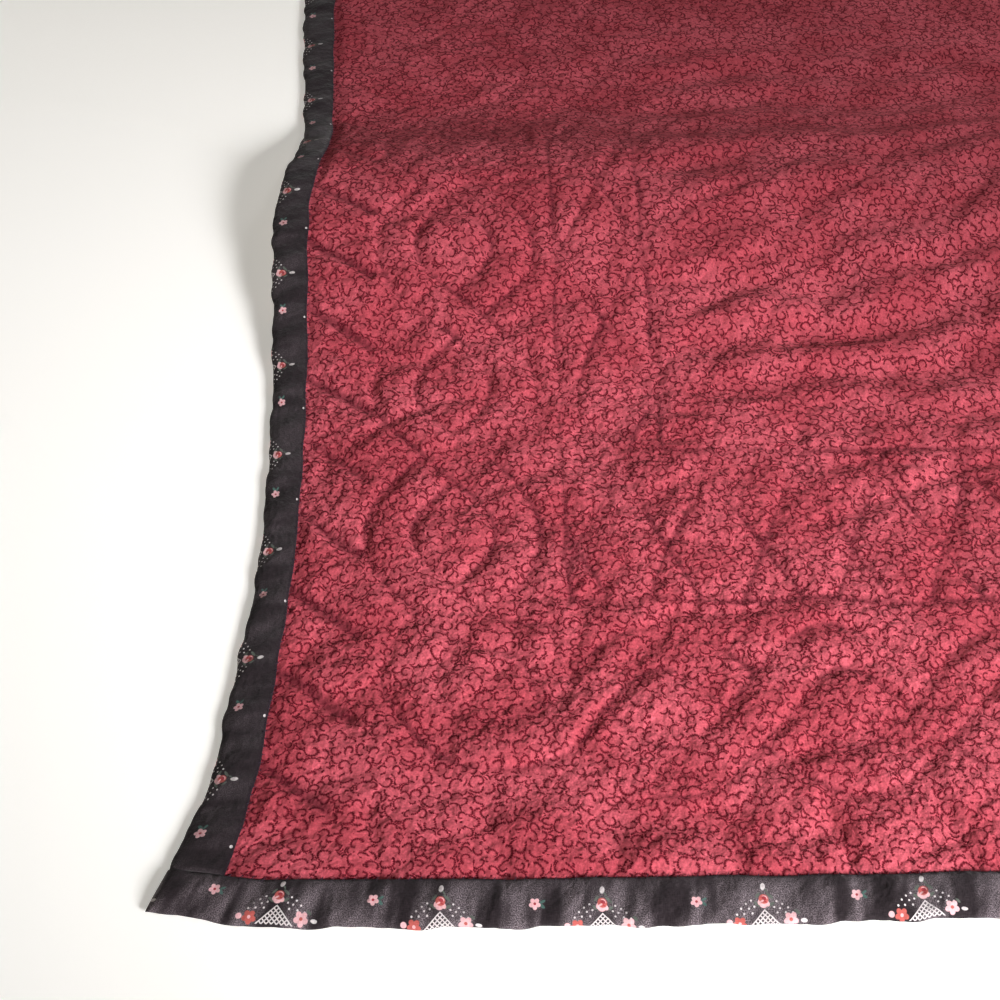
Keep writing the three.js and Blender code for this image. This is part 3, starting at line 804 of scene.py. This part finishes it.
# Materials
class Nodes:
    """A new material, with short calls that add nodes and return their result."""

    def __init__(self, name):
        self.material = bpy.data.materials.new(name)
        self.material.use_nodes = True
        self.tree = self.material.node_tree
        self.shader = self.tree.nodes["Principled BSDF"]

    def feed(self, socket, value):
        if isinstance(value, bpy.types.NodeSocket):
            self.tree.links.new(value, socket)
        else:
            socket.default_value = value

    def add(self, kind, inputs, **settings):
        node = self.tree.nodes.new("ShaderNode" + kind)
        for key, value in settings.items():
            setattr(node, key, value)
        for key, value in inputs.items():
            self.feed(node.inputs[key], value)
        return node

    def set(self, **values):
        for name, value in values.items():
            self.feed(self.shader.inputs[name.replace("_", " ")], value)

    def flat_map(self, name):
        """The flat place that a map gives, in mm."""
        return self.scaled(self.add("UVMap", {}, uv_map=name).outputs["UV"], 1 / MM)

    def attribute(self, name):
        return self.add("Attribute", {}, attribute_name=name).outputs["Fac"]

    def math(self, operation, *values):
        return self.add("Math", dict(enumerate(values)), operation=operation).outputs[0]

    def times(self, first, second):
        return self.math("MULTIPLY", first, second)

    def times_plus(self, first, second, third):
        return self.math("MULTIPLY_ADD", first, second, third)

    def vector(self, operation, *values):
        node = self.add("VectorMath", dict(enumerate(values)), operation=operation)
        return node.outputs["Value" if operation == "LENGTH" else "Vector"]

    def scaled(self, vector, size):
        return self.add("VectorMath", {"Vector": vector, "Scale": size}, operation="SCALE").outputs["Vector"]

    def parts(self, vector):
        return self.add("SeparateXYZ", {"Vector": vector}).outputs

    def noise(self, vector, scale, detail=2.0, output="Fac"):
        inputs = {"Vector": vector, "Scale": scale, "Detail": detail}
        return self.add("TexNoise", inputs, noise_dimensions="2D").outputs[output]

    def chance(self, vector):
        """Three random numbers for each whole place."""
        return self.add("TexWhiteNoise", {"Vector": vector}, noise_dimensions="2D").outputs["Color"]

    def ramp(self, value, start, end, low=0.0, high=1.0):
        inputs = {"Value": value, "From Min": start, "From Max": end, "To Min": low, "To Max": high}
        return self.add("MapRange", inputs, interpolation_type="SMOOTHSTEP").outputs["Result"]

    def mix(self, part, first, second, blend="MIX"):
        node = self.add("Mix", {0: part, 6: first, 7: second}, data_type="RGBA", blend_type=blend)
        return node.outputs[2]

    def shaded(self, colour, share):
        """The colour made darker or lighter by a share."""
        grey = self.add("CombineColor", {0: share, 1: share, 2: share}).outputs[0]
        return self.mix(1.0, colour, grey, "MULTIPLY")

    def placed(self, vector, x, y, turn, wide, high):
        """The vector seen from a mark's own middle, turn and size."""
        inputs = {"Vector": vector, "Location": (x, y, 0), "Rotation": (0, 0, turn), "Scale": (wide, high, 1)}
        return self.add("Mapping", inputs, vector_type="TEXTURE").outputs["Vector"]

    def bump(self, height, distance):
        return self.add("Bump", {"Height": height, "Distance": distance}).outputs["Normal"]


def tone(red, green, blue):
    """A colour given in screen values from 0 to 255."""
    linear = []
    for value in (red / 255, green / 255, blue / 255):
        linear.append(value / 12.92 if value <= 0.04045 else ((value + 0.055) / 1.055) ** 2.4)
    return (*linear, 1.0)


def woven(nodes, cloth):
    """Unevenness of a plain weave, thread by thread, from 0 to 1."""
    across, along = WEAVE["across"], WEAVE["along"]
    warp = nodes.noise(nodes.vector("MULTIPLY", cloth, (across, along, 1)), 1.0, 1.0)
    weft = nodes.noise(nodes.vector("MULTIPLY", cloth, (along, across, 1)), 1.0, 1.0)
    return nodes.times(nodes.math("ADD", warp, weft), 0.5)


def drawn_number(nodes, trait, use):
    """One more random number, drawn from a disc's own."""
    return nodes.math("FRACT", nodes.times(trait, DRAW[use]))


def disc_radius(nodes, trait):
    """Radius of a disc, in cells, from its own random number."""
    return nodes.times_plus(trait, SCROLL["largest"] - SCROLL["smallest"], SCROLL["smallest"])


def top_disc(nodes, grid):
    """The place seen from the middle of the uppermost disc, with that disc's number as third part."""
    cell = nodes.vector("FLOOR", grid)
    stray = SCROLL["stray"]
    from_stray = nodes.vector("SUBTRACT", grid, (0.5 - stray / 2, 0.5 - stray / 2, 0))
    margin = SCROLL["line"] / SCROLL["cell"] * SCROLL["margin"]
    kept, top = (APART, APART, 0, 0), 0.0
    for step in NEIGHBOURS:
        home = nodes.vector("ADD", cell, step)
        middle = nodes.vector("MULTIPLY_ADD", nodes.chance(home), (stray, stray, -1), home)
        seen = nodes.vector("SUBTRACT", from_stray, middle)
        trait = nodes.parts(seen)[2]
        reach = nodes.vector("LENGTH", nodes.vector("MULTIPLY", seen, (1, 1, 0)))
        edge = nodes.math("ADD", disc_radius(nodes, trait), margin)
        rank = nodes.times(drawn_number(nodes, trait, "rank"), nodes.math("LESS_THAN", reach, edge))
        kept = nodes.mix(nodes.math("GREATER_THAN", rank, top), kept, seen)
        top = nodes.math("MAXIMUM", rank, top)
    return kept


def scroll_distance(nodes, cloth):
    """Distance in mm to the scroll print's lines: an open curl round each disc, most with a hook."""
    stray = nodes.noise(cloth, 1 / SCROLL_WARP["pitch"], 0.0, "Color")
    stray = nodes.vector("SUBTRACT", stray, (0.5, 0.5, 0.5))
    moved = nodes.vector("ADD", cloth, nodes.scaled(stray, SCROLL_WARP["size"]))
    level = nodes.vector("MULTIPLY", moved, (1, 1, 0))
    seen = top_disc(nodes, nodes.placed(level, *SCROLL_PLACE, SCROLL["cell"], SCROLL["cell"]))
    x, y, trait = nodes.parts(seen)
    radius = disc_radius(nodes, trait)
    reach = nodes.vector("LENGTH", nodes.vector("MULTIPLY", seen, (1, 1, 0)))

    flipped = nodes.math("GREATER_THAN", drawn_number(nodes, trait, "flip"), 0.5)
    sense = nodes.times_plus(flipped, -1 / math.pi, 1 / (2 * math.pi))
    angle = nodes.times(nodes.math("ARCTAN2", y, x), sense)
    sweep = nodes.math("FRACT", nodes.times_plus(trait, DRAW["turn"], angle))
    past = nodes.math("MAXIMUM", nodes.math("SUBTRACT", sweep, CURL["sweep"]), 0.0)
    closing = nodes.times_plus(sweep, -CURL["wind"], 1.0)
    closing = nodes.times_plus(past, -CURL["hook"] / CURL["tail"], closing)
    off = nodes.math("ABSOLUTE", nodes.math("SUBTRACT", reach, nodes.times(radius, closing)))

    hooked = nodes.math("LESS_THAN", drawn_number(nodes, trait, "hooked"), CURL["hooks"])
    ended = nodes.math("GREATER_THAN", past, nodes.times(hooked, CURL["tail"]))
    off = nodes.times_plus(ended, APART, off)
    beads = nodes.math("COSINE", nodes.times(sweep, 2 * math.pi * DYE["beads"]))
    return nodes.times_plus(off, SCROLL["cell"], nodes.times(beads, DYE["bead"]))


def printed_cotton():
    """Rose cotton with a dark scroll print, creased by the quilting."""
    nodes = Nodes("printed_cotton")
    cloth = nodes.flat_map("Cloth")
    weave = woven(nodes, cloth)
    rough_edge = nodes.noise(cloth, 1.3, 1.0)
    distance = nodes.times_plus(rough_edge, DYE["rough"], scroll_distance(nodes, cloth))
    full, end = [DYE["rough"] / 2 + SCROLL["line"] * DYE[part] for part in ("full", "end")]
    dyed = nodes.ramp(distance, full, end, 1.0, 0.0)
    faded = nodes.ramp(nodes.noise(cloth, 0.02, 3.0), 0.35, 0.65)
    ground = nodes.mix(faded, tone(191, 78, 90), tone(209, 94, 107))
    # Painted shade of fine crumples: the ground darkens in small patches
    mottle = nodes.ramp(nodes.noise(cloth, 0.4, 3.0), 0.3, 0.7, 0.26, 0.0)
    ground = nodes.mix(mottle, ground, tone(120, 38, 52))
    dye = nodes.mix(weave, tone(84, 10, 23), tone(112, 22, 38))
    colour = nodes.mix(dyed, ground, dye)
    slub = nodes.times_plus(nodes.noise(cloth, 0.85, 2.0), 0.6, nodes.times(weave, 0.4))
    colour = nodes.shaded(colour, nodes.ramp(slub, 0.36, 0.64, 0.84, 1.14))
    # Painted shade: the cloth darkens towards a dark wine in the groove beside sewn lines and puckers
    painted_seam_shade = nodes.ramp(nodes.attribute("painted_seam_shade"), 0.1, 1.0, 0.0, 0.66)
    colour = nodes.mix(painted_seam_shade, colour, tone(84, 22, 34))
    crease = nodes.noise(cloth, 0.16, 3.0)
    fine = nodes.times_plus(crease, 2.2, nodes.times(weave, 0.16))
    nodes.set(
        Base_Color=colour,
        Roughness=nodes.ramp(weave, 0.3, 0.7, 0.95, 0.8),
        Specular_IOR_Level=0.1,
        Sheen_Weight=0.02,
        Sheen_Roughness=0.5,
        Normal=nodes.bump(fine, MM),
    )
    return nodes.material


def plain_cotton():
    """Undyed cotton of the side that lies on the floor."""
    nodes = Nodes("plain_cotton")
    weave = woven(nodes, nodes.flat_map("Cloth"))
    nodes.set(
        Base_Color=nodes.mix(weave, tone(206, 196, 178), tone(236, 229, 214)),
        Roughness=nodes.ramp(weave, 0.3, 0.7, 0.95, 0.85),
        Specular_IOR_Level=0.2,
        Normal=nodes.bump(weave, 0.2 * MM),
    )
    return nodes.material


# Colours of the floral print
CORAL, PINK, ROSE = tone(192, 94, 88), tone(236, 184, 189), tone(168, 58, 68)
WHITE, LEAF, TEAL = tone(216, 208, 209), tone(92, 100, 92), tone(74, 104, 98)


def flower(x, y, size, petal, heart):
    """Petals round a heart."""
    reach, long, wide, core = [size * part for part in FLOWER]
    marks = []
    for k in range(PETALS):
        turn = math.radians(360 / PETALS * k + PETAL_TURN)
        place = (x + reach * math.cos(turn), y + reach * math.sin(turn))
        marks.append((*place, long, wide, math.degrees(turn), petal))
    return [*marks, (x, y, core, core, 0, heart)]


def floral_marks():
    """Marks round the rose, in mm: along, across (outward), half sizes, turn in degrees, colour."""
    rose = [
        (-3.6, 2.0, 2.2, 0.8, 35, LEAF), (3.4, -2.4, 2.2, 0.8, 40, LEAF), (3.8, 1.8, 2.0, 0.8, -30, LEAF),
        (-3.0, -2.6, 1.9, 0.7, -50, LEAF),
        (-0.4, 2.4, 2.0, 1.5, 0, PINK), (-2.0, 1.0, 1.3, 1.7, 20, PINK), (1.7, 1.6, 1.3, 1.6, -30, PINK),
        (0.0, -0.6, 2.6, 2.6, 0, CORAL), (0.6, -1.5, 1.5, 1.0, 25, PINK), (0.3, -1.1, 1.4, 1.0, 20, ROSE),
        (-1.0, 0.5, 1.2, 0.5, -30, PINK), (0.9, 0.7, 1.0, 0.4, 30, ROSE),
        (0.2, -7.4, 1.3, 2.1, 8, WHITE), (1.6, -5.2, 1.3, 0.5, 60, LEAF),
    ]
    spray = [
        (6.6, 0.2), (9.4, 1.8), (8.0, 4.0), (12.0, 4.0), (6.4, 6.2), (10.6, 6.4), (14.2, 6.8), (5.2, 3.2),
    ]
    dots = [(way * x, y, 0.56, 0.56, 0, WHITE) for x, y in spray for way in (1, -1)]
    side = [*flower(-12.8, 11.2, 3.4, CORAL, PINK), *flower(13.0, 10.0, 3.6, PINK, CORAL)]
    far = [
        (-18.0, 11.0, 1.6, 1.6, 0, PINK), (19.5, 10.6, 1.8, 1.0, 10, WHITE), (16.4, 6.6, 1.6, 0.8, 40, LEAF),
    ]
    lone = [
        (-30.6, 0.4, 1.9, 0.9, 40, TEAL), (-30.2, -1.8, 1.6, 0.7, -30, TEAL),
        *flower(-34.2, -0.6, 2.9, PINK, ROSE), (-40.0, -16.6, 1.0, 0.8, 0, WHITE),
    ]
    return [*rose, *dots, *side, *far, *lone]


def wedge_share(nodes, spot):
    """Share of white in the checked wedge, which opens outward from its point."""
    x, y, _ = nodes.parts(spot)
    ahead = nodes.math("SUBTRACT", y, WEDGE["point"])
    between = nodes.math("GREATER_THAN", ahead, nodes.math("ABSOLUTE", x))
    within = nodes.times(between, nodes.math("LESS_THAN", ahead, WEDGE["height"]))
    start, end = WEDGE["line"] - WEDGE["blur"], WEDGE["line"] + WEDGE["blur"]
    lines = []
    for way in ("ADD", "SUBTRACT"):
        slant = nodes.math("DIVIDE", nodes.math(way, ahead, x), WEDGE["check"] * math.sqrt(2))
        lines.append(nodes.ramp(nodes.math("FRACT", slant), start, end, 1.0, 0.0))
    return nodes.times(within, nodes.math("MAXIMUM", *lines))


def floral_tape():
    """Charcoal cotton tape with a small flower print, paler with wear along its fold. The wear is set lower
    on the left strip as painted shade, and a painted shadow line runs along the sewn edge.
    """
    nodes = Nodes("floral_tape")
    tape = nodes.flat_map("Tape")
    weave = woven(nodes, tape)
    across = nodes.parts(tape)[1]
    slanted = nodes.placed(tape, 0, 0, STREAK["turn"], STREAK["apart"], STREAK["long"])
    streak = nodes.ramp(nodes.noise(slanted, 1.0, 2.0), 0.36, 0.66)
    ending = nodes.ramp(across, *TAPE_WEAR_AND_EDGE_SHADE["ends"], 1.0, 0.0)
    near_fold = nodes.times(nodes.ramp(across, *TAPE_WEAR_AND_EDGE_SHADE["grows"]), ending)
    # Paler wear near the fold, scaled by the strip's share, which also paints the left strip's shade
    wear_and_shade = nodes.times(nodes.times(near_fold, streak), nodes.attribute("wear_and_shade"))
    speck = nodes.ramp(nodes.noise(tape, 1.7, 2.0), 0.38, 0.68, 0.15, 1.0)
    colour = nodes.mix(weave, tone(24, 17, 20), tone(46, 36, 41))
    colour = nodes.mix(nodes.times(wear_and_shade, speck), colour, tone(188, 172, 180))

    along, off, _ = nodes.parts(nodes.flat_map("Print"))
    half = REPEAT / MM / 2
    spot = nodes.add("CombineXYZ", {"X": nodes.math("WRAP", along, half, -half), "Y": off}).outputs[0]
    colour = nodes.mix(wedge_share(nodes, spot), colour, WHITE)
    for x, y, wide, high, turn, paint in floral_marks():
        reach = nodes.vector("LENGTH", nodes.placed(spot, x, y, math.radians(turn), wide, high))
        colour = nodes.mix(nodes.ramp(reach, 0.82, 1.08, 1.0, 0.0), colour, paint)
    colour = nodes.shaded(colour, nodes.ramp(weave, 0.3, 0.7, 0.84, 1.1))
    # Painted shadow: a dark line along the tape's sewn inner edge, where it meets the cloth
    colour = nodes.mix(nodes.ramp(across, *TAPE_WEAR_AND_EDGE_SHADE["seam"], 0.75, 0.0), colour, tone(24, 9, 20))
    height = nodes.times_plus(nodes.noise(tape, 0.2, 2.0), 1.2, nodes.times(weave, 0.2))
    nodes.set(
        Base_Color=colour,
        Roughness=nodes.ramp(weave, 0.3, 0.7, 0.95, 0.78),
        Specular_IOR_Level=0.25,
        Sheen_Weight=0.14,
        Sheen_Roughness=0.45,
        Normal=nodes.bump(height, MM),
    )
    return nodes.material


def twisted_thread(name, dark, light):
    """Cotton thread with the slant of its twist."""
    nodes = Nodes(name)
    place = nodes.add("TexCoord", {}).outputs["Object"]
    twist = nodes.add("TexNoise", {"Vector": place, "Scale": 2600.0, "Detail": 1.0}).outputs["Fac"]
    nodes.set(
        Base_Color=nodes.mix(twist, dark, light),
        Roughness=nodes.ramp(twist, 0.3, 0.7, 0.85, 0.65),
        Specular_IOR_Level=0.3,
        Normal=nodes.bump(twist, 0.1 * MM),
    )
    return nodes.material


def pale_floor():
    """A matt floor, very slightly mottled, with a painted glow that fades out from the middle."""
    nodes = Nodes("pale_floor")
    place = nodes.add("TexCoord", {}).outputs["Object"]
    mottle = nodes.noise(place, 3.0, 3.0)
    reach = nodes.vector("LENGTH", place)
    nodes.set(
        Base_Color=nodes.mix(mottle, tone(249, 248, 246), tone(252, 251, 250)),
        Roughness=nodes.ramp(mottle, 0.3, 0.7, 0.75, 0.85),
        Specular_IOR_Level=0.2,
        # Painted light: the floor glows so that it stays white
        Emission_Color=(1.0, 0.97, 0.91, 1.0),
        Emission_Strength=nodes.ramp(reach, *GLOW["reach"], *GLOW["strength"]),
    )
    return nodes.material


# Camera, light and floor
def stand_camera():
    data = bpy.data.cameras.new("camera")
    data.lens = LENS
    data.sensor_width = SENSOR
    data.clip_start = CLIP_START
    camera = bpy.data.objects.new("camera", data)
    camera.location = CAMERA_PLACE
    camera.rotation_euler = (math.radians(90 - CAMERA_DOWN), 0, math.radians(-CAMERA_RIGHT))
    bpy.context.scene.collection.objects.link(camera)
    bpy.context.scene.camera = camera


def light_scene():
    for name, place, faces, size, spread, power, colour in LIGHTS:
        data = bpy.data.lights.new(name, "AREA")
        data.shape = "RECTANGLE"
        data.size, data.size_y = size
        data.spread = math.radians(spread)
        data.energy = power
        data.color = colour
        light = bpy.data.objects.new(name, data)
        light.location = place
        ahead = Vector(faces) - Vector(place)
        light.rotation_euler = ahead.to_track_quat("-Z", "Y").to_euler()
        bpy.context.scene.collection.objects.link(light)
    world = bpy.data.worlds.new("studio")
    world.use_nodes = True
    sky = world.node_tree.nodes["Background"]
    sky.inputs["Color"].default_value = SKY
    sky.inputs["Strength"].default_value = SKY_STRENGTH
    bpy.context.scene.world = world
    bpy.context.scene.view_settings.view_transform = "Standard"


def lay_floor():
    """A round floor whose rim sweeps up into a wall."""
    turns = np.arange(SWEEP_SIDES) / SWEEP_SIDES * 2 * np.pi
    reach, height = np.array(SWEEP).T
    x, y = np.outer(reach, np.cos(turns)), np.outer(reach, np.sin(turns))
    z = np.repeat(height[:, None], SWEEP_SIDES, axis=1)
    points = np.stack([x, y, z], axis=-1).reshape(-1, 3) - (0, 0, FLOOR_DROP)
    ids = np.arange(len(points)).reshape(len(reach), SWEEP_SIDES)
    faces = [ids[0].tolist(), *bands(ids)[:, ::-1].tolist()]
    piece("floor", points, faces, [pale_floor()])


# The scene: camera, light and floor, then the pieces of the cover
stand_camera()
light_scene()
lay_floor()

quilt = quilt_mesh([printed_cotton(), plain_cotton()])
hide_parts("quilt_body")
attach(quilt, BODY)

tape_material = floral_tape()
for row in STRIPS:
    strip = strip_mesh(row, tape_material)
    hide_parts(row["node"])
    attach(strip, BODY)

rose_thread = twisted_thread("rose_thread", tone(120, 34, 48), tone(170, 66, 80))
quilting = thread_mesh("quilting_stitches", quilting_paths(quilt), STITCH["radius"], rose_thread)
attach(quilting, BODY)

dark_thread = twisted_thread("dark_thread", tone(38, 24, 40), tone(70, 52, 70))
slips = thread_mesh("slip_stitches", slip_paths(), SLIP["radius"], dark_thread)
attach(slips, BODY)
